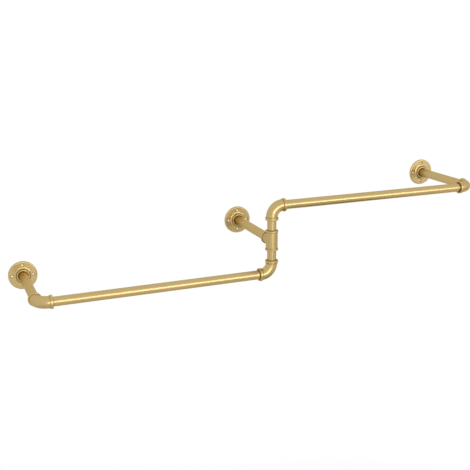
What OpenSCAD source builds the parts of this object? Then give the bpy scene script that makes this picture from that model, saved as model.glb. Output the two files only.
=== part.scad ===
// A wall coat rack built from threaded pipe and cast fittings. Two rails at two
// heights are joined by a short riser, and three pipes with round flanges hold
// them off the wall. X runs along the wall, Y points into the wall and Z points
// up. The origin is the centre of the middle flange's back face.

/* [Layout] */
// Distance along the wall from the middle flange to each outer flange
rail_span = 546; // [200:1:1200]
// Height of the upper rail's axis above the lower rail's axis
rail_drop = 162; // [130:1:400]
// Distance from the wall to the axes of both rails
wall_reach = 218; // [90:1:400]

/* [Pipe] */
// Outside diameter of every pipe
pipe_d = 21.3; // [19:0.1:24]
// Thickness of the pipe's wall
pipe_wall = 2.6; // [1.6:0.1:4]
// Step on each side from the pipe's surface down to its threaded end
thread_drop = 0.45; // [0.2:0.05:0.8]
// Width of the bevel on the edge of each pipe end
pipe_bevel = 0.7; // [0.2:0.1:1]

/* [Sockets] */
// Depth of a fitting's socket from its mouth to the shoulder
socket_depth = 13.5; // [8:0.5:14]
// Gap all round between a threaded end and its socket
thread_gap = 0.15; // [0.05:0.05:0.3]
// Gap between the end of a pipe and the shoulder of its socket
end_gap = 0.3; // [0.1:0.1:0.8]
// Gap all round the pipe at the mouth of an elbow or the tee
mouth_gap = 2.8; // [0.5:0.1:3.2]
// Depth of the cone that leads from the mouth into the socket
mouth_depth = 3.5; // [1:0.5:5]
// Length of thread that shows outside each mouth
thread_show = 1; // [0:0.1:3]

/* [Collars] */
// Thickness of the collars outside the pipe's surface
collar_wall = 4.7; // [4:0.05:6]
// Width of the elbows' collars along the pipe
collar_w = 6.5; // [3:0.5:7]
// Width of the tee's collars along the pipe
tee_collar_w = 4.8; // [3:0.1:6]
// Radius of the collars' rounded edges
collar_round = 1.3; // [0.3:0.1:1.4]
// Width of the groove behind each collar
groove_w = 1.3; // [0.5:0.1:1.6]
// Depth of the groove behind each collar
groove_depth = 0.9; // [0.2:0.1:1.2]

/* [Elbows] */
// Distance from the corner of an elbow's axes to each mouth
elbow_arm = 33; // [31:0.5:45]
// Radius of the bend along the elbow's axis
elbow_bend = 27; // [16:0.5:28]
// Thickness of the elbow's body outside the pipe's surface
elbow_wall = 2.85; // [2:0.05:3.5]

/* [Tee] */
// Distance from the tee's centre to the mouths on the riser
tee_run_arm = 24; // [23:0.5:30]
// Distance from the tee's centre to the mouth that faces the wall
tee_branch_arm = 30; // [28:0.5:45]
// Thickness of the tee's upright body outside the pipe's surface
tee_wall = 3.3; // [2.6:0.05:4]
// Thickness of the tee's branch outside the pipe's surface
branch_wall = 2.9; // [2.2:0.05:3.2]
// Radius of the rounded crotch between the branch and the upright body
crotch_round = 4; // [2:0.5:5]

/* [Flanges] */
// Diameter of the flange plate
flange_d = 68; // [60:0.5:90]
// Thickness of the flange plate
flange_t = 5; // [3.5:0.1:7]
// Radius of the plate's rounded front edge
flange_round = 2.2; // [0.4:0.1:3]
// Height of the hub's mouth above the wall
hub_h = 11.5; // [10.5:0.1:25]
// Gap all round the pipe at the hub's mouth
hub_gap = 1.9; // [0.5:0.1:2.5]
// Depth of the cone that opens the hub's mouth
hub_mouth_depth = 2; // [1:0.5:5]
// Thickness of the hub's lip round the mouth
hub_lip = 3; // [1.5:0.1:3.5]
// Radius of the lip's rounded edge
hub_round = 1.4; // [0.3:0.1:1.5]
// Height of the straight band below the hub's mouth
hub_band = 2.2; // [1.5:0.1:4]
// Spread of the hub's cone on each side, from the band to the plate
hub_flare = 1.8; // [1:0.1:2.6]
// Radius of the fillet between the hub and the plate
hub_fillet = 4.2; // [0.5:0.1:6]
// Gap between the wall and the end of the pipe in the flange
wall_gap = 2; // [0.5:0.1:3]

/* [Screw holes] */
// Number of screw holes in each flange
screw_count = 4; // [3:1:6]
// Diameter of the circle through the screw holes
screw_circle_d = 49; // [48:0.5:56]
// Diameter of a screw hole
screw_hole_d = 4.8; // [3.5:0.1:6]
// Diameter of the countersink at the front of a screw hole
countersink_d = 8.6; // [7:0.1:10]

/* [Hidden] */
$fn = 96;
pipe_gold = "#cfaa68";
fitting_gold = "#c9a35e";
pipe_r = pipe_d / 2;
bore_r = pipe_r - pipe_wall;
thread_r = pipe_r - thread_drop;
socket_r = thread_r + thread_gap;
mouth_r = pipe_r + mouth_gap;
collar_r = pipe_r + collar_wall;
elbow_r = pipe_r + elbow_wall;
tee_r = pipe_r + tee_wall;
branch_r = pipe_r + branch_wall;
flange_r = flange_d / 2;
hub_mouth_r = pipe_r + hub_gap;
hub_top_r = hub_mouth_r + hub_lip;
hub_base_r = hub_top_r + hub_flare;
lower_z = -rail_drop / 2;
upper_z = rail_drop / 2;
// Length of pipe inside a fitting's socket
insert = socket_depth - end_gap;
// Length of pipe inside a flange's hub
flange_insert = hub_h - wall_gap;
// Distances from the centre of a fitting to the end of the pipe in it
elbow_seat = elbow_arm - insert;
tee_seat = tee_run_arm - insert;
branch_seat = tee_branch_arm - insert;
// The crotch's sweep lies this far inside the branch's surface
crotch_inset = 0.3;
// Cuts run this far past the surfaces that they open
cut_over = 1;
// Turns that take +Z to each arm of an elbow, to the tee's two arms on the
// riser and to its branch
ELBOW_ARMS = [[0, 90, 0], [-90, 0, 0]];
TEE_RUN_ARMS = [[0, 0, 0], [180, 0, 0]];
TEE_BRANCH = [-90, 0, 0];

// A pipe along +Z from the origin. Both ends step down to their thread, low_in
// and high_in are the lengths of pipe inside the two fittings.
module threaded_pipe(length, low_in, high_in) {
    low_end = low_in + thread_show;
    high_end = length - high_in - thread_show;
    rotate_extrude()
        polygon([
            [bore_r, 0],
            [thread_r - pipe_bevel, 0],
            [thread_r, pipe_bevel],
            [thread_r, low_end - thread_drop],
            [pipe_r, low_end],
            [pipe_r, high_end],
            [thread_r, high_end + thread_drop],
            [thread_r, length - pipe_bevel],
            [thread_r - pipe_bevel, length],
            [bore_r, length]
        ]);
}

// Half outline of a disc from low to high along the axis. The outer corners at
// the top, and at the bottom where both is true, are rounded.
module rounded_disc(r, low, high, round_r, both) {
    bottom = both ? low + round_r : low;
    translate([0, low])
        square([r - round_r, high - low]);
    translate([0, bottom])
        square([r, high - round_r - bottom]);
    translate([r - round_r, high - round_r])
        circle(round_r);
    if (both)
        translate([r - round_r, low + round_r])
            circle(round_r);
}

// The body of a fitting's arm along +Z, from start to its mouth at arm
module arm_body(body_r, start, arm) {
    translate([0, 0, start])
        cylinder(h = arm - collar_round - start, r = body_r);
}

// The ring that cuts the groove behind the collar of an arm along +Z. It runs
// on to the middle of the collar's width, because the collar is added later.
module arm_groove(body_r, arm, width) {
    cut_h = groove_w + width / 2;
    translate([0, 0, arm - width - groove_w])
        difference() {
            cylinder(h = cut_h, r = collar_r);
            translate([0, 0, -cut_over])
                cylinder(h = cut_h + 2 * cut_over, r = body_r - groove_depth);
        }
}

// The rounded collar that stands round the mouth of an arm along +Z
module arm_collar(arm, width) {
    rotate_extrude()
        rounded_disc(collar_r, arm - width, arm, collar_round, true);
}

// The hollow of one arm along +Z: waterway from start, socket and mouth cone
module arm_hollow(start, arm) {
    translate([0, 0, start])
        cylinder(h = arm - start, r = bore_r);
    translate([0, 0, arm - socket_depth])
        cylinder(h = socket_depth + cut_over, r = socket_r);
    translate([0, 0, arm - mouth_depth])
        cylinder(h = mouth_depth, r1 = socket_r, r2 = mouth_r);
    translate([0, 0, arm])
        cylinder(h = cut_over, r = mouth_r);
}

// A quarter of a ring that joins the +X axis to the +Y axis at bend from both
module quarter_sweep(r, bend) {
    translate([bend, bend, 0])
        rotate([0, 0, 180])
            rotate_extrude(angle = 90)
                translate([bend, 0])
                    circle(r);
}

// The elbow's outside before its mouths get their collars. The sweep of the
// body starts under the collars, so the grooves are cut into the sweep.
module elbow_body() {
    difference() {
        union() {
            quarter_sweep(elbow_r, elbow_bend);
            for (turn = ELBOW_ARMS)
                rotate(turn)
                    arm_body(elbow_r, elbow_bend, elbow_arm);
        }
        for (turn = ELBOW_ARMS)
            rotate(turn)
                arm_groove(elbow_r, elbow_arm, collar_w);
    }
}

// A swept elbow with its corner at the origin and mouths on +X and +Y
module elbow() {
    difference() {
        union() {
            elbow_body();
            for (turn = ELBOW_ARMS)
                rotate(turn)
                    arm_collar(elbow_arm, collar_w);
        }
        quarter_sweep(bore_r, elbow_bend);
        for (turn = ELBOW_ARMS)
            rotate(turn)
                arm_hollow(elbow_bend, elbow_arm);
    }
}

// An arm of the tee along +Z with its groove and collar
module tee_arm(body_r, arm) {
    difference() {
        arm_body(body_r, 0, arm);
        arm_groove(body_r, arm, tee_collar_w);
    }
    arm_collar(arm, tee_collar_w);
}

// A tee with its centre at the origin, mouths up and down and a branch on +Y.
// Two sweeps round the crotches between the branch and the upright body.
module tee() {
    crotch_bend = branch_r + crotch_round;
    difference() {
        union() {
            for (turn = TEE_RUN_ARMS)
                rotate(turn)
                    tee_arm(tee_r, tee_run_arm);
            rotate(TEE_BRANCH)
                tee_arm(branch_r, tee_branch_arm);
            for (side = [90, -90])
                rotate([0, side, 0])
                    quarter_sweep(branch_r - crotch_inset, crotch_bend);
        }
        for (turn = TEE_RUN_ARMS)
            rotate(turn)
                arm_hollow(0, tee_run_arm);
        rotate(TEE_BRANCH)
            arm_hollow(0, tee_branch_arm);
    }
}

// Half outline of the sliver that fills the corner between the hub's cone and
// the plate. Its arc touches both, and lean is the cone's angle from upright.
// The radius ends where the arc would run past the top of the cone.
module hub_fillet_outline(lean, cone_h) {
    radius = min(hub_fillet, cone_h / (1 - sin(lean)));
    centre_r = hub_base_r + radius * (1 - sin(lean)) / cos(lean);
    centre_z = flange_t + radius;
    difference() {
        polygon([
            [hub_base_r, flange_t],
            [centre_r, flange_t],
            [centre_r, centre_z],
            [centre_r - radius * cos(lean), centre_z - radius * sin(lean)]
        ]);
        translate([centre_r, centre_z])
            circle(radius);
    }
}

// A round flange with its back face at the origin and its hub along +Z
module flange() {
    band_low = hub_h - hub_band;
    cone_h = band_low - flange_t;
    difference() {
        rotate_extrude() {
            rounded_disc(flange_r, 0, flange_t, flange_round, false);
            rounded_disc(hub_top_r, 0, hub_h, hub_round, false);
            polygon([[0, 0], [hub_base_r, 0], [hub_base_r, flange_t], [hub_top_r, band_low], [0, band_low]]);
            hub_fillet_outline(atan(hub_flare / cone_h), cone_h);
        }
        translate([0, 0, -cut_over])
            cylinder(h = hub_h + 2 * cut_over, r = socket_r);
        translate([0, 0, hub_h - hub_mouth_depth])
            cylinder(h = hub_mouth_depth, r1 = socket_r, r2 = hub_mouth_r);
        translate([0, 0, hub_h])
            cylinder(h = cut_over, r = hub_mouth_r);
        for (i = [0 : screw_count - 1])
            rotate([0, 0, 90 + i * 360 / screw_count])
                translate([screw_circle_d / 2, 0, 0])
                    screw_hole();
    }
}

// A countersunk screw hole through the plate, with a right-angled cone
module screw_hole() {
    sink_depth = (countersink_d - screw_hole_d) / 2;
    translate([0, 0, -cut_over])
        cylinder(h = flange_t + 2 * cut_over, d = screw_hole_d);
    translate([0, 0, flange_t - sink_depth])
        cylinder(h = sink_depth, d1 = screw_hole_d, d2 = countersink_d);
    translate([0, 0, flange_t])
        cylinder(h = cut_over, d = countersink_d);
}

// Puts a flange on the wall with its hub towards the room
module wall_flange(x, z) {
    color(fitting_gold)
        translate([x, 0, z])
            rotate([90, 0, 0])
                flange();
}

// Puts a pipe between a flange on the wall and a fitting that it enters by seat
module standoff(x, z, seat) {
    color(pipe_gold)
        translate([x, -wall_gap, z])
            rotate([90, 0, 0])
                threaded_pipe(wall_reach - wall_gap - seat, flange_insert, insert);
}

// Puts an elbow's corner at the front of the rack, turned to face its two pipes
module placed_elbow(x, z, turn) {
    color(fitting_gold)
        translate([x, -wall_reach, z])
            rotate(turn)
                elbow();
}

// Puts a rail along X between two elbows, with the first elbow's corner at x
module rail(x, z) {
    color(pipe_gold)
        translate([x + elbow_seat, -wall_reach, z])
            rotate([0, 90, 0])
                threaded_pipe(rail_span - 2 * elbow_seat, insert, insert);
}

// Puts an upright pipe between the tee and an elbow, with its low end at z
module nipple(z) {
    color(pipe_gold)
        translate([0, -wall_reach, z])
            threaded_pipe(rail_drop / 2 - elbow_seat - tee_seat, insert, insert);
}

module left_flange() {
    wall_flange(-rail_span, lower_z);
}

module middle_flange() {
    wall_flange(0, 0);
}

module right_flange() {
    wall_flange(rail_span, upper_z);
}

module left_standoff() {
    standoff(-rail_span, lower_z, elbow_seat);
}

module middle_standoff() {
    standoff(0, 0, branch_seat);
}

module right_standoff() {
    standoff(rail_span, upper_z, elbow_seat);
}

module left_end_elbow() {
    placed_elbow(-rail_span, lower_z, [0, 0, 0]);
}

module right_end_elbow() {
    placed_elbow(rail_span, upper_z, [0, 0, 90]);
}

module lower_rail() {
    rail(-rail_span, lower_z);
}

module upper_rail() {
    rail(0, upper_z);
}

module lower_riser_elbow() {
    placed_elbow(0, lower_z, [90, 0, 180]);
}

module upper_riser_elbow() {
    placed_elbow(0, upper_z, [-90, 0, 0]);
}

module riser_tee() {
    color(fitting_gold)
        translate([0, -wall_reach, 0])
            tee();
}

module lower_riser_nipple() {
    nipple(lower_z + elbow_seat);
}

module upper_riser_nipple() {
    nipple(tee_seat);
}

left_flange();
middle_flange();
right_flange();
left_standoff();
middle_standoff();
right_standoff();
left_end_elbow();
right_end_elbow();
lower_rail();
upper_rail();
lower_riser_elbow();
upper_riser_elbow();
riser_tee();
lower_riser_nipple();
upper_riser_nipple();
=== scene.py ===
# %% [markdown]
# # A wall coat rack of gold pipe
#
# The real rack is plumbing: drawn steel pipes with cast elbows, a tee and round
# wall flanges, screwed together and coated in a satin gold. The construction
# model already holds every pipe and fitting at its real size, so this script
# gives them their finish, cuts the threads that show in the mouths, and sets up
# the studio and the camera. Lengths are in metres, X runs along the wall, Y
# points into the wall and Z points up.

# %% Load the rack
import math

import bpy
from mathutils import Matrix, Vector


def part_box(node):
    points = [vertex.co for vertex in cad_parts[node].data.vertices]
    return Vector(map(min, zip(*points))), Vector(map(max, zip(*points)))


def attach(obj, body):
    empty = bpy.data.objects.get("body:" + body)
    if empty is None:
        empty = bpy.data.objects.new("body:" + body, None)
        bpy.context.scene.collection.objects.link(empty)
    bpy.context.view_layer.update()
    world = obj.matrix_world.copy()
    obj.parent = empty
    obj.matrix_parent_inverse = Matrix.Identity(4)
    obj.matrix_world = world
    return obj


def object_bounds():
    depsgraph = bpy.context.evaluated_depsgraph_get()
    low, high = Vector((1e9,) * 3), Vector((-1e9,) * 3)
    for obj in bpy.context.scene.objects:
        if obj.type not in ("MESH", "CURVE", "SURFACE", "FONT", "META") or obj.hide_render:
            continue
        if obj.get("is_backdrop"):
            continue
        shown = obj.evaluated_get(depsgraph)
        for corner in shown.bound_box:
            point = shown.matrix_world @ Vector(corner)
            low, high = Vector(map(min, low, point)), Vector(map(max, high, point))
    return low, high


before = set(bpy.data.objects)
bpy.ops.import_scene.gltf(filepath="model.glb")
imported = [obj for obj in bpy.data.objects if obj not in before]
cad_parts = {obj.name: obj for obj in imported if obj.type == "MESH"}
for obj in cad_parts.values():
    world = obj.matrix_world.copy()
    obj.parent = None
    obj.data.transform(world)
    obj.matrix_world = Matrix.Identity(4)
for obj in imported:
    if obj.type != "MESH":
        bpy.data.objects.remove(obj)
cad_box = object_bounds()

MM = 0.001
rack_low, rack_high = cad_box
print("rack size in mm:", [round(side / MM, 1) for side in rack_high - rack_low])

# %% [markdown]
# ## Three small helpers
#
# Every colour below is written the way a paint chart or a web page gives it, as
# a hex value. Blender's shaders want linear light, so one function converts,
# with the numbers of the sRGB standard. A second function makes an empty
# material. The third adds a shader node, sets its inputs and links it, which
# keeps each material down to a short list that reads from pattern to surface.

# %% Colours, materials and nodes
def linear(hex_colour):
    """An sRGB hex colour as the linear RGBA that shaders use."""
    channels = [int(hex_colour[i:i + 2], 16) / 255 for i in (1, 3, 5)]
    bright = [c / 12.92 if c <= 0.04045 else ((c + 0.055) / 1.055) ** 2.4 for c in channels]
    return (*bright, 1.0)


def new_material(name):
    """A material without nodes, and its node tree."""
    material = bpy.data.materials.new(name)
    material.use_nodes = True
    material.node_tree.nodes.clear()
    return material, material.node_tree


def add_node(tree, kind, inputs=None, **settings):
    """Adds a node with its settings. Each input is a value or the socket that feeds it."""
    node = tree.nodes.new(kind)
    for name, value in settings.items():
        setattr(node, name, value)
    for name, value in (inputs or {}).items():
        if isinstance(value, bpy.types.NodeSocket):
            tree.links.new(value, node.inputs[name])
        else:
            node.inputs[name].default_value = value
    return node


WHITE = linear("#ffffff")
print("mid gold in linear light:", [round(c, 3) for c in linear("#c2a66a")])

# %% [markdown]
# ## The camera
#
# The photograph was taken from the left of the rack and a little above it. A
# camera could be moved by hand until the picture looks right, but a long thin
# rack shows every degree of error. So the place, the turn and the lens come from
# fitting a pinhole camera to the pipes' outlines. With the rack's real size
# known, only one camera shows all three flanges and both rails where the
# photograph has them. The small roll is the photographer's own, and the shift is
# what is left of the picture's crop.

# %% Place the camera
PHOTO_PIXELS = 470
FOCAL_PIXELS = 823.05
SENSOR_MM = 36
CAMERA_PLACE = Vector((-0.7600, -1.9060, 0.5087))
YAW = math.radians(21.25)
PITCH = math.radians(17.20)
ROLL = math.radians(-0.58)
SHIFT = (0.0095, 0.0669)


def make_camera():
    camera = bpy.data.objects.new("photo_camera", bpy.data.cameras.new("photo_camera"))
    bpy.context.scene.collection.objects.link(camera)
    camera.data.sensor_width = SENSOR_MM
    camera.data.lens = FOCAL_PIXELS / PHOTO_PIXELS * SENSOR_MM
    camera.data.shift_x, camera.data.shift_y = SHIFT
    turn = Matrix.Rotation(-YAW, 4, "Z")
    tilt = Matrix.Rotation(math.radians(90) - PITCH, 4, "X")
    roll = Matrix.Rotation(ROLL, 4, "Z")
    camera.matrix_world = Matrix.Translation(CAMERA_PLACE) @ turn @ tilt @ roll
    bpy.context.scene.camera = camera
    return camera


camera = make_camera()
print("lens in mm:", round(camera.data.lens, 2))

# %% [markdown]
# ## The floor
#
# Metal has hardly a colour of its own. What the eye reads as gold is the room,
# reflected and tinted. So the room is built first. It starts with a plain pale
# floor, well below the rack, because a rack hangs at shoulder height. A curved
# backdrop is the usual way in a studio, but its edge would show from the sides.
# A single large plane is enough, and it is marked as stage, so it isn't part of
# the rack.

# %% Lay the floor
FLOOR_BELOW = 1.35
FLOOR_SIDE = 40.0


def deselect_all():
    """Operators act on what is selected, and loading the rack leaves all of it selected."""
    bpy.ops.object.select_all(action="DESELECT")


def make_floor():
    deselect_all()
    middle = (rack_low + rack_high) / 2
    place = (middle.x, middle.y, rack_low.z - FLOOR_BELOW)
    bpy.ops.mesh.primitive_plane_add(size=FLOOR_SIDE, location=place)
    floor = bpy.context.object
    floor.name = "studio_floor"
    bpy.ops.object.transform_apply(location=True)
    floor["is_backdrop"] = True
    return floor


floor = make_floor()
print("floor height in mm:", round(floor.bound_box[0][2] / MM))

# %% [markdown]
# ## White to look at, plain to light with
#
# The background is pure white, but a room of pure white would also light the
# rack and the floor too much. The Light Path node tells the two apart: whether a
# ray comes from the camera or a reflection, or only gathers light. A brighter
# exposure would whiten the background too, but it would wash out the gold.

# %% Tell looking from lighting
LOOKING_RAYS = ("Is Camera Ray", "Is Glossy Ray", "Is Transmission Ray")


def seen_or_reflected(tree):
    """1 for rays from the camera, a reflection or clear glass, and 0 for rays of light."""
    ray = add_node(tree, "ShaderNodeLightPath")
    total = ray.outputs[LOOKING_RAYS[0]]
    for kind in LOOKING_RAYS[1:]:
        both = {0: total, 1: ray.outputs[kind]}
        total = add_node(tree, "ShaderNodeMath", both, operation="ADD", use_clamp=True).outputs[0]
    return total


print("rays that look:", LOOKING_RAYS)

# %% [markdown]
# ## The floor's paint
#
# A matt paint keeps the soft shadow of the rack. Further out the floor fades
# into pure white, so no horizon shows behind the rack. A sharp edge between
# floor and background would cut through the picture. The fade is only for rays
# that look at the floor. Rays that carry light meet the plain paint everywhere,
# so the fade adds no light.

# %% Paint the floor
FLOOR_PAINT = "#ebe9e5"
FADE_CENTRE = (0.0, -1.1, 0.0)
FADE_START = 1.6
FADE_END = 2.4
ACROSS_FLOOR = (1, 1, 0)


def matt_floor_paint():
    paint, tree = new_material("matt_pale_floor_paint")
    place = add_node(tree, "ShaderNodeTexCoord").outputs["Object"]
    flat = add_node(
        tree, "ShaderNodeVectorMath", {0: place, 1: ACROSS_FLOOR}, operation="MULTIPLY"
    )
    far = add_node(
        tree, "ShaderNodeVectorMath", {0: flat.outputs[0], 1: FADE_CENTRE}, operation="DISTANCE"
    )
    fade = add_node(
        tree, "ShaderNodeMapRange",
        {"Value": far.outputs["Value"], "From Min": FADE_START, "From Max": FADE_END},
        interpolation_type="SMOOTHSTEP",
    )
    share = add_node(
        tree, "ShaderNodeMath", {0: fade.outputs["Result"], 1: seen_or_reflected(tree)},
        operation="MULTIPLY",
    )
    matt = add_node(tree, "ShaderNodeBsdfDiffuse", {"Color": linear(FLOOR_PAINT)})
    white = add_node(tree, "ShaderNodeEmission", {"Color": WHITE, "Strength": 1.0})
    mix = add_node(
        tree, "ShaderNodeMixShader", {0: share.outputs[0], 1: matt.outputs[0], 2: white.outputs[0]}
    )
    add_node(tree, "ShaderNodeOutputMaterial", {"Surface": mix.outputs[0]})
    return paint


floor.data.materials.append(matt_floor_paint())
print("floor paint:", floor.data.materials[0].name)

# %% [markdown]
# ## A white surround
#
# Round the rack stands a white tent, as a product photographer uses for metal.
# It could be a dome of real faces, but the world does the same and hides
# nothing from the other sides. The camera and the reflections see it at full
# white. As a lamp it is a little weaker, so that the tent and the lamps together
# light the floor's paint at the level it is written at.

# %% Surround the rack
TENT_LIGHT = 0.85


def make_surround():
    world = bpy.data.worlds.new("white_tent")
    bpy.context.scene.world = world
    world.use_nodes = True
    tree = world.node_tree
    tree.nodes.clear()
    soft = add_node(tree, "ShaderNodeBackground", {"Color": WHITE, "Strength": TENT_LIGHT})
    white = add_node(tree, "ShaderNodeBackground", {"Color": WHITE, "Strength": 1.0})
    mix = add_node(
        tree, "ShaderNodeMixShader",
        {0: seen_or_reflected(tree), 1: soft.outputs[0], 2: white.outputs[0]},
    )
    add_node(tree, "ShaderNodeOutputWorld", {"Surface": mix.outputs[0]})


make_surround()
bpy.context.scene.view_settings.view_transform = "Standard"
print("view transform:", bpy.context.scene.view_settings.view_transform)

# %% [markdown]
# ## The lamps
#
# One bright line runs along both rails, near the middle of the pipe. A spot
# would give a round gleam, and a large softbox would make the whole pipe pale.
# So the lamp is a long strip in front of the rack: a round pipe squeezes its
# reflection into a line. A small, weak fill below it lifts the riser's right
# side. A softbox is set by its radiance, which is how bright it looks in a
# reflection, and its power follows from that and its size.

# %% Set up the softboxes
def make_softbox(name, place, target, size, radiance):
    """A lamp that is as bright as radiance wherever it is seen in a reflection."""
    data = bpy.data.lights.new(name, "AREA")
    data.shape = "RECTANGLE"
    data.size, data.size_y = size
    data.energy = radiance * math.pi * size[0] * size[1]
    lamp = bpy.data.objects.new(name, data)
    bpy.context.scene.collection.objects.link(lamp)
    aim = (Vector(target) - Vector(place)).to_track_quat("-Z", "Y").to_matrix().to_4x4()
    lamp.matrix_world = Matrix.Translation(place) @ aim
    lamp.visible_camera = False
    return lamp


strip = make_softbox(
    "front_strip_softbox",
    place=(0.6, -2.4, 0.28), target=(0.1, -0.2, 0.0), size=(3.0, 0.42), radiance=5.6,
)
fill = make_softbox(
    "low_fill_softbox",
    place=(0.2, -2.45, -0.45), target=(0.0, -0.2, 0.0), size=(0.7, 0.6), radiance=1.0,
)
print("lamp power in watts:", round(strip.data.energy, 1), round(fill.data.energy, 1))

# %% [markdown]
# ## Grey cards
#
# In an all-white tent, gold looks flat. Photographers stand dark cards beside
# the lamps, called flags, and the metal reflects them as its darker sides. A
# darker paint on those sides would look the same from here, but wrong from
# anywhere else. One card stands low in front for the plates of the flanges. One
# stands to the right for the edges of the riser and the tee. The last lies low
# under the upper rail and darkens its underside. Only reflections see them, so
# they throw no shadow.

# %% Stand the cards
CARD_GREY = "#6a6a6a"


def matt_card_board():
    board, tree = new_material("matt_grey_card_board")
    matt = add_node(tree, "ShaderNodeBsdfDiffuse", {"Color": linear(CARD_GREY)})
    add_node(tree, "ShaderNodeOutputMaterial", {"Surface": matt.outputs[0]})
    return board


card_board = matt_card_board()


def stand_card(name, place, target, size):
    """A flat card of this width and height that faces the target."""
    deselect_all()
    bpy.ops.mesh.primitive_plane_add(size=1)
    card = bpy.context.object
    card.name = name
    aim = (Vector(target) - Vector(place)).to_track_quat("Z", "Y").to_matrix().to_4x4()
    card.matrix_world = Matrix.Translation(place) @ aim @ Matrix.Diagonal((*size, 1, 1))
    bpy.ops.object.transform_apply(location=True, rotation=True, scale=True)
    card.data.materials.append(card_board)
    card.visible_camera = card.visible_diffuse = card.visible_shadow = False
    card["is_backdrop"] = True
    return card


front_card = stand_card(
    "front_grey_card", place=(1.1, -2.35, -0.6), target=(0.1, -0.1, 0.0), size=(0.7, 1.0)
)
right_card = stand_card(
    "right_grey_card", place=(2.3, -1.2, -0.6), target=(0.0, -0.2, 0.0), size=(0.8, 0.7)
)
low_card = stand_card(
    "low_grey_card", place=(0.8, -0.4, -1.1), target=(0.8, -0.4, 0.0), size=(0.5, 1.0)
)
print("cards:", front_card.name, right_card.name, low_card.name)

# %% [markdown]
# ## The satin gold coat
#
# The finish is a metallic powder coat: gold flakes in a clear binder, sprayed on
# steel and baked. A plain yellow paint would miss how it brightens towards its
# edges. The flakes make it a metal, so it is metallic all through, and they lie
# unevenly, which makes it satin and not mirror bright. The binder adds a thin
# clear gloss that whitens the brightest line a little. One function makes this
# coat for any base. It takes the base's grain, as a size along each axis and a
# depth, and how far the roughness swings with that grain. A slow drift in tone,
# a few centimetres wide, is what an uneven spray leaves.

# %% Mix the coat
FLAKE_DEEP = "#bca36c"
FLAKE_PALE = "#c5ac76"
GRAZING_GOLD = "#d6c69c"
BINDER_GLOSS = 0.3
BINDER_ROUGHNESS = 0.25
SPRAY_DRIFT_MM = 60
GRAIN_LOW, GRAIN_HIGH = 0.3, 0.7
# A mix node repeats its socket names for each kind of data. These are the colour ones.
MIX_A, MIX_B, MIX_RESULT = 6, 7, 2


def satin_gold(name, grain_mm, grain_depth_mm, roughness):
    """A satin gold coat over a base with this grain. Returns the material and its shader."""
    material, tree = new_material(name)
    place = add_node(tree, "ShaderNodeTexCoord").outputs["Object"]
    drift = add_node(
        tree, "ShaderNodeTexNoise",
        {"Vector": place, "Scale": 1 / (SPRAY_DRIFT_MM * MM), "Detail": 1.0},
    )
    tone = add_node(
        tree, "ShaderNodeMix",
        {"Factor": drift.outputs["Fac"], MIX_A: linear(FLAKE_DEEP), MIX_B: linear(FLAKE_PALE)},
        data_type="RGBA",
    )
    per_metre = tuple(1 / (size * MM) for size in grain_mm)
    stretched = add_node(tree, "ShaderNodeMapping", {"Vector": place, "Scale": per_metre})
    grain = add_node(
        tree, "ShaderNodeTexNoise", {"Vector": stretched.outputs[0], "Scale": 1.0, "Detail": 2.0}
    )
    gloss = add_node(
        tree, "ShaderNodeMapRange",
        {
            "Value": grain.outputs["Fac"], "From Min": GRAIN_LOW, "From Max": GRAIN_HIGH,
            "To Min": roughness[0], "To Max": roughness[1],
        },
    )
    bump = add_node(
        tree, "ShaderNodeBump",
        {"Height": grain.outputs["Fac"], "Distance": grain_depth_mm * MM, "Strength": 1.0},
    )
    shader = add_node(
        tree, "ShaderNodeBsdfPrincipled",
        {
            "Base Color": tone.outputs[MIX_RESULT], "Metallic": 1.0,
            "Roughness": gloss.outputs["Result"], "Specular Tint": linear(GRAZING_GOLD),
            "Coat Weight": BINDER_GLOSS, "Coat Roughness": BINDER_ROUGHNESS,
            "Normal": bump.outputs["Normal"],
        },
    )
    add_node(tree, "ShaderNodeOutputMaterial", {"Surface": shader.outputs[0]})
    return material, shader


print("the coat drifts from", FLAKE_DEEP, "to", FLAKE_PALE, "over", SPRAY_DRIFT_MM, "mm")

# %% [markdown]
# ## Drawn pipe
#
# Steel pipe is drawn through a die, which leaves fine lines along its length.
# Under the coat they only soften the highlight sideways. An anisotropic shader
# would soften it too, but it shows no line from close up. So the noise is
# stretched along the pipe, and each direction of pipe gets its own material.
# Real die lines are some 0.1 mm wide, too fine to show, so they are drawn 1.2 mm
# wide.

# %% Coat the pipes
LINE_WIDE_MM = 1.2
LINE_LONG_MM = 80
LINE_DEEP_MM = 0.003
PIPE_ROUGHNESS = (0.32, 0.36)


def drawn_pipe_coat(axis):
    lines = [LINE_WIDE_MM] * 3
    lines["xyz".index(axis)] = LINE_LONG_MM
    return satin_gold("satin_gold_on_drawn_pipe_" + axis, lines, LINE_DEEP_MM, PIPE_ROUGHNESS)[0]


pipe_coat = {axis: drawn_pipe_coat(axis) for axis in "xyz"}
print("pipe coats:", [coat.name for coat in pipe_coat.values()])

# %% [markdown]
# ## Castings
#
# The elbows and the tee are cast in sand, so their skin has a fine even grain
# in all directions, which the coat nearly fills. Displacing the mesh would make
# the grain real, but it is far finer than a pixel, so a bump in the material is
# enough. Sand grains are some 0.3 mm wide, and they are drawn 0.9 mm wide so
# that they show.

# %% Coat the elbows and the tee
CAST_GRAIN_MM = (0.9, 0.9, 0.9)
CAST_DEEP_MM = 0.006
CAST_ROUGHNESS = (0.32, 0.37)
casting_coat = satin_gold(
    "satin_gold_on_sand_casting", CAST_GRAIN_MM, CAST_DEEP_MM, CAST_ROUGHNESS
)[0]
print("casting coat:", casting_coat.name)

# %% [markdown]
# ## Flanges: where is a point on the flange?
#
# A flange has two surfaces. Its hub is turned on a lathe for the thread, so it
# is smooth there and its lip and fillet show bright rings. The plate round it
# stays as cast and looks duller. The hub could be split off as a piece of its
# own, but it isn't one. So the material tells the places apart by their distance
# from the hub's axis and from the wall.

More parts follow.
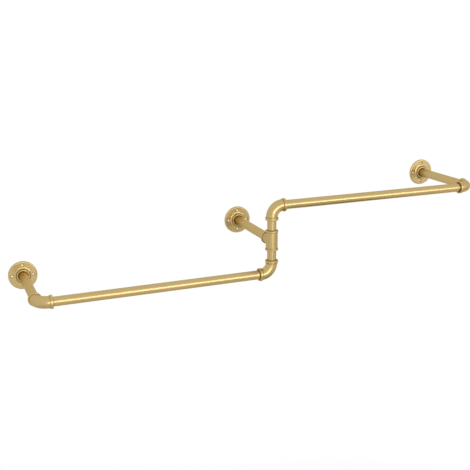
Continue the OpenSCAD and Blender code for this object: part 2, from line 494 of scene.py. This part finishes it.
# %% Measure a flange from its hub
ACROSS_WALL = (1, 0, 1)


def place_on_flange(tree, node_name):
    """A point's distance from the hub's axis, and its place along Y."""
    low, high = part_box(node_name)
    middle = (Vector(low) + Vector(high)) / 2
    place = add_node(tree, "ShaderNodeTexCoord").outputs["Object"]
    centred = add_node(tree, "ShaderNodeMapping", {"Vector": place, "Location": -middle})
    sideways = add_node(
        tree, "ShaderNodeVectorMath", {0: centred.outputs[0], 1: ACROSS_WALL}, operation="MULTIPLY"
    )
    radius = add_node(tree, "ShaderNodeVectorMath", {0: sideways.outputs[0]}, operation="LENGTH")
    along = add_node(tree, "ShaderNodeSeparateXYZ", {0: place})
    return radius.outputs["Value"], along.outputs["Y"]


flange_names = [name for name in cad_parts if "flange" in name]
print("flanges:", flange_names)

# %% [markdown]
# ## Flanges: the thin ring behind the lip
#
# The corner behind the hub's lip lies in shade, and that shade is painted into the coat as a
# darker, browner ring. Ambient occlusion would find such corners too, but it would darken the
# socket and the screw holes as well. In the flange's section the ring is a spot, so its colour
# depends on the distance from that spot.

# %% Paint the shade behind the lip
# Painted shade: the brown that the corner behind the lip is darkened to, and the ring's place and
# size.
PAINTED_SHADE_BROWN = "#94703a"
SHADE_RING_RADIUS = 16.4 * MM
SHADE_RING_HEIGHT = 8.6 * MM
SHADE_RING_CORE = 0.5 * MM
SHADE_RING_EDGE = 1.9 * MM


def tone_with_painted_shade(tree, radius, along, coat_tone):
    """The coat's colour, which goes over to the painted shade's brown in the ring."""
    section = add_node(tree, "ShaderNodeCombineXYZ", {"X": radius, "Y": along})
    spot = (SHADE_RING_RADIUS, -SHADE_RING_HEIGHT, 0)
    off_ring = add_node(
        tree, "ShaderNodeVectorMath", {0: section.outputs[0], 1: spot}, operation="DISTANCE"
    )
    unshaded_coat = add_node(
        tree, "ShaderNodeMapRange",
        {
            "Value": off_ring.outputs["Value"], "From Min": SHADE_RING_CORE,
            "From Max": SHADE_RING_EDGE,
        },
        interpolation_type="SMOOTHSTEP",
    )
    tone = add_node(
        tree, "ShaderNodeMix",
        {"Factor": unshaded_coat.outputs["Result"], MIX_A: linear(PAINTED_SHADE_BROWN), MIX_B: coat_tone},
        data_type="RGBA",
    )
    return tone.outputs[MIX_RESULT]


# The thin ring is the ring of painted shade behind the lip.
print("the thin ring is", round(2 * SHADE_RING_RADIUS / MM, 1), "mm across")

# %% [markdown]
# ## Flanges: the coat
#
# The flange's coat starts as the castings' one. Its colour then gets the ring of painted shade,
# and its roughness goes over from the turned hub to the plate. Each flange has its own copy,
# centred on its own box, because a material that followed the object's own origin would be centred
# on the middle flange only.

# %% Coat the flanges
TURNED_RADIUS = 22 * MM
TURNED_BLEND = 1.5 * MM
TURNED_ROUGHNESS = 0.27
PLATE_ROUGHNESS = (0.30, 0.36)


def flange_coat(node_name):
    material, shader = satin_gold(
        "satin_gold_on_turned_" + node_name, CAST_GRAIN_MM, CAST_DEEP_MM, PLATE_ROUGHNESS
    )
    tree = material.node_tree
    radius, along = place_on_flange(tree, node_name)
    coat_tone = shader.inputs["Base Color"].links[0].from_socket
    tone = tone_with_painted_shade(tree, radius, along, coat_tone)
    tree.links.new(tone, shader.inputs["Base Color"])
    as_cast = add_node(
        tree, "ShaderNodeMapRange",
        {
            "Value": radius, "From Min": TURNED_RADIUS - TURNED_BLEND,
            "From Max": TURNED_RADIUS + TURNED_BLEND,
        },
    )
    cast_gloss = shader.inputs["Roughness"].links[0].from_socket
    gloss = add_node(
        tree, "ShaderNodeMix",
        {"Factor": as_cast.outputs["Result"], "A": TURNED_ROUGHNESS, "B": cast_gloss},
        data_type="FLOAT",
    )
    tree.links.new(gloss.outputs["Result"], shader.inputs["Roughness"])
    return material


flange_coats = {name: flange_coat(name) for name in flange_names}
print("flange coats:", sorted(coat.name for coat in flange_coats.values()))

# %% [markdown]
# ## Where the threads show
#
# Each pipe is screwed into a fitting at both ends, and a little of its thread
# shows in the open mouth of the fitting. The places could be typed in by hand,
# but the loaded model already knows them. So the list below only says which
# pipe screws into which fittings. The mouth is then the side of the fitting's
# box that faces the pipe's middle, on the pipe's own axis.

# %% Find the mouths
SCREWED_INTO = {
    "lower_rail": ("left_end_elbow", "lower_riser_elbow"),
    "upper_rail": ("upper_riser_elbow", "right_end_elbow"),
    "left_standoff": ("left_flange", "left_end_elbow"),
    "middle_standoff": ("middle_flange", "riser_tee"),
    "right_standoff": ("right_flange", "right_end_elbow"),
    "lower_riser_nipple": ("lower_riser_elbow", "riser_tee"),
    "upper_riser_nipple": ("riser_tee", "upper_riser_elbow"),
}


def mouth_of(fitting, pipe):
    """The middle of a fitting's mouth, and the direction in which the pipe leaves it."""
    pipe_low, pipe_high = (Vector(corner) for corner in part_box(pipe))
    fitting_low, fitting_high = (Vector(corner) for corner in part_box(fitting))
    length = pipe_high - pipe_low
    axis = max(range(3), key=lambda i: length[i])
    mouth = (pipe_low + pipe_high) / 2
    upwards = mouth[axis] > (fitting_low[axis] + fitting_high[axis]) / 2
    way = Vector((0, 0, 0))
    way[axis] = 1 if upwards else -1
    mouth[axis] = fitting_high[axis] if upwards else fitting_low[axis]
    return mouth, way


mouths = {}
for pipe, fittings in SCREWED_INTO.items():
    for fitting in fittings:
        mouth, way = mouth_of(fitting, pipe)
        mouths[pipe, fitting] = mouth, way
        print(pipe, "leaves", fitting, "at", [round(c / MM, 1) for c in mouth], "to", list(way))

# %% [markdown]
# ## The thread's section
#
# A half-inch pipe thread is one ridge wound round the pipe, with 14 turns to the
# inch. A stack of rings would look much the same, but it would have no lead. So
# it is made as a lathe makes it, from its section. A small plane stands on the
# pipe, with its foot just inside the steel so that no gap shows. Its outer edge
# is pinched to make the narrow crest, and its face goes, so that only the
# outline is wound.

# %% Stand the section on the pipe
INCH = 25.4 * MM
THREAD_PITCH = INCH / 14
ROOT_RADIUS = 10.12 * MM
CREST_RADIUS = 10.50 * MM
RIDGE_HEIGHT = CREST_RADIUS - ROOT_RADIUS
RIDGE_WIDTH = 1.75 * MM
CREST_SHARE = 0.25


def stand_section(name, depth):
    """The outline of the ridge on +X, at this depth in a mouth that faces up at the origin."""
    deselect_all()
    middle = ((ROOT_RADIUS + CREST_RADIUS) / 2, 0, -depth)
    bpy.ops.mesh.primitive_plane_add(size=1, location=middle, rotation=(math.radians(90), 0, 0))
    ridge = bpy.context.object
    ridge.name = name
    bpy.ops.object.transform_apply(location=True, rotation=True)
    bpy.ops.object.mode_set(mode="EDIT")
    bpy.ops.transform.resize(value=(RIDGE_HEIGHT, 1, RIDGE_WIDTH), center_override=middle)
    bpy.ops.mesh.select_mode(type="VERT")
    bpy.ops.mesh.select_all(action="DESELECT")
    bpy.ops.object.mode_set(mode="OBJECT")
    for vertex in ridge.data.vertices:
        vertex.select = vertex.co.x > middle[0]
    bpy.ops.object.mode_set(mode="EDIT")
    bpy.ops.transform.resize(value=(1, 1, CREST_SHARE), center_override=middle)
    bpy.ops.mesh.select_all(action="SELECT")
    bpy.ops.mesh.delete(type="ONLY_FACE")
    bpy.ops.object.mode_set(mode="OBJECT")
    return ridge


print("thread pitch in mm:", round(THREAD_PITCH / MM, 3))

# %% [markdown]
# ## Winding it up the pipe
#
# The Screw modifier turns the section round Z and lifts it by one pitch a turn.
# The spin operator with a rise would do as well, but the modifier takes the
# angle, the rise and the steps as plain values, so the thread's real sizes go
# straight in. It is applied, so that what is left is a mesh.

# %% Wind the section
STARTS_OUTSIDE = 0.35 * MM
STEPS_PER_TURN = 48


def wind_up(ridge, depth):
    """Winds the section from its depth to just outside the mouth."""
    turns = (depth + STARTS_OUTSIDE) / THREAD_PITCH
    winding = ridge.modifiers.new("winding", "SCREW")
    winding.axis = "Z"
    winding.angle = turns * math.tau
    winding.screw_offset = turns * THREAD_PITCH
    winding.steps = winding.render_steps = round(turns * STEPS_PER_TURN)
    winding.use_smooth_shade = False
    bpy.ops.object.modifier_apply(modifier=winding.name)
    print(ridge.name, "has", round(turns, 2), "turns")


print("one step of the thread turns by", 360 / STEPS_PER_TURN, "degrees")

# %% [markdown]
# ## Sinking its ends
#
# A thread doesn't stop with a cut. It starts shallow where the die starts, and
# runs out where the die lets go. So the last sections at both ends are drawn in
# towards the axis, each a little more than the one before. They could be scaled
# one by one by hand, but the modifier writes the sections in order, so a loop
# finds them. The two open ends are then filled, and the faces turned outwards.

# %% Sink and close the ends
SINKING_STEPS = 8
CORNERS = 4


def draw_in(ridge, ring, factor):
    """Draws one section of the ridge in towards the pipe's axis."""
    bpy.ops.mesh.select_all(action="DESELECT")
    bpy.ops.object.mode_set(mode="OBJECT")
    for vertex in ridge.data.vertices[ring * CORNERS:(ring + 1) * CORNERS]:
        vertex.select = True
    bpy.ops.object.mode_set(mode="EDIT")
    bpy.ops.transform.resize(value=(factor, factor, 1), center_override=(0, 0, 0))


def sink_ends(ridge):
    bpy.ops.object.mode_set(mode="EDIT")
    rings = len(ridge.data.vertices) // CORNERS
    for step in range(SINKING_STEPS):
        sunk = 1 - step / SINKING_STEPS
        factor = 1 - sunk * RIDGE_HEIGHT / CREST_RADIUS
        draw_in(ridge, step, factor)
        draw_in(ridge, rings - 1 - step, factor)
    bpy.ops.mesh.select_mode(type="EDGE")
    bpy.ops.mesh.select_all(action="DESELECT")
    bpy.ops.mesh.select_non_manifold()
    bpy.ops.mesh.fill_holes(sides=CORNERS)
    bpy.ops.mesh.select_all(action="SELECT")
    bpy.ops.mesh.normals_make_consistent(inside=False)
    bpy.ops.object.mode_set(mode="OBJECT")
    print(ridge.name, "has", len(ridge.data.polygons), "faces")


print("each end sinks over", SINKING_STEPS * 360 / STEPS_PER_TURN, "degrees")

# %% [markdown]
# ## Two ridges
#
# The mouth of a flange is shallower than the mouth of an elbow or of the tee.
# Scaling one ridge would change its pitch, so two are modelled, with the same
# pitch and different depths.

# %% Model both ridges
DEEP_IN_FLANGE = 1.8 * MM
DEEP_IN_FITTING = 3.2 * MM


def model_ridge(name, depth):
    ridge = stand_section(name, depth)
    wind_up(ridge, depth)
    sink_ends(ridge)
    return ridge


ridge_models = {
    "flange": model_ridge("thread_for_flanges", DEEP_IN_FLANGE),
    "fitting": model_ridge("thread_for_fittings", DEEP_IN_FITTING),
}

# %% [markdown]
# ## Bare thread, darkened with painted shade
#
# Threads are cut into bare steel and screwed together with oil or sealant, and a little of the
# gold spray gets in. Their brown is darker than that: it is painted shade, standing for the shade
# in the gap of every mouth. So the eye sees a dull brown line in every mouth, with a faint gleam
# on the crests. It could be painted on the pipe, but a ridge catches the light as the real one
# does. Drops and smears of oil are a few millimetres wide, and change both the colour and the
# gloss.

# %% Oil the threads and darken them with painted shade
# Both thread colours hold painted shade: they are darkened for the gap in each mouth.
THREAD_DRY_SHADED = "#c0924a"
THREAD_OILY_SHADED = "#8a6426"
OIL_SMEAR_MM = 3.0
THREAD_ROUGHNESS = (0.38, 0.55)


def oiled_and_shaded_thread_steel():
    material, tree = new_material("oily_cut_steel_thread_with_painted_shade")
    place = add_node(tree, "ShaderNodeTexCoord").outputs["Object"]
    smear = add_node(
        tree, "ShaderNodeTexNoise",
        {"Vector": place, "Scale": 1 / (OIL_SMEAR_MM * MM), "Detail": 2.0},
    )
    tone = add_node(
        tree, "ShaderNodeMix",
        {"Factor": smear.outputs["Fac"], MIX_A: linear(THREAD_OILY_SHADED), MIX_B: linear(THREAD_DRY_SHADED)},
        data_type="RGBA",
    )
    gloss = add_node(
        tree, "ShaderNodeMapRange",
        {
            "Value": smear.outputs["Fac"], "To Min": THREAD_ROUGHNESS[0],
            "To Max": THREAD_ROUGHNESS[1],
        },
    )
    shader = add_node(
        tree, "ShaderNodeBsdfPrincipled",
        {
            "Base Color": tone.outputs[MIX_RESULT], "Metallic": 1.0,
            "Roughness": gloss.outputs["Result"],
        },
    )
    add_node(tree, "ShaderNodeOutputMaterial", {"Surface": shader.outputs[0]})
    return material


thread_steel = oiled_and_shaded_thread_steel()
print("thread material:", thread_steel.name)

# %% [markdown]
# ## A thread in every mouth
#
# Fourteen threads could each be modelled in place, but a model and its copies are less work and
# always alike. Each copy gets its own mesh, turned to the pipe's direction and moved to its mouth,
# so that its object stays at the origin as the loaded nodes do. A thread belongs to the pipe it is
# cut in, and each one is hung on the rack's root body.

# %% Put a thread in each mouth
def cut_thread(pipe, fitting, mouth, way):
    model = ridge_models["flange" if "flange" in fitting else "fitting"]
    thread = bpy.data.objects.new("thread_" + pipe + "_in_" + fitting, model.data.copy())
    bpy.context.scene.collection.objects.link(thread)
    turn = Vector((0, 0, 1)).rotation_difference(way).to_matrix().to_4x4()
    thread.data.transform(Matrix.Translation(mouth) @ turn)
    thread.data.materials.append(thread_steel)
    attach(thread, "root")
    return thread


threads = [cut_thread(pipe, fitting, *mouths[pipe, fitting]) for pipe, fitting in mouths]
for model in ridge_models.values():
    bpy.data.objects.remove(model)
print(len(threads), "threads cut")

# %% [markdown]
# ## Give every node its coat
#
# The rack was coated piece by piece, and that is how the coats are given out
# here. A flange takes its own, a pipe the one that runs along it, and the elbows
# and the tee the castings' one. It could be done slot by slot, but the names
# already say which way each pipe runs.

# %% Give every node its coat
PIPE_RUNS = {"rail": "x", "standoff": "y", "nipple": "z"}


def coat_for(name):
    if name in flange_coats:
        return flange_coats[name]
    for word, axis in PIPE_RUNS.items():
        if word in name:
            return pipe_coat[axis]
    return casting_coat


for name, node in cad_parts.items():
    for slot in node.material_slots:
        slot.material = coat_for(name)
    print(name, "has", coat_for(name).name)

# %% [markdown]
# ## Print the rack's size twice
#
# The finish is meant to leave the rack's size as it is. Looking at it is no test, because a thread
# that stands out by a millimetre is hard to see. So both boxes are printed: the one that was
# loaded, and the one of all that is shown.

# %% Print both boxes and finish
visual_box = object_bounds()
for title, (low, high) in (("loaded", cad_box), ("shown", visual_box)):
    print(title, "box in mm:", [round(side / MM, 1) for side in high - low])
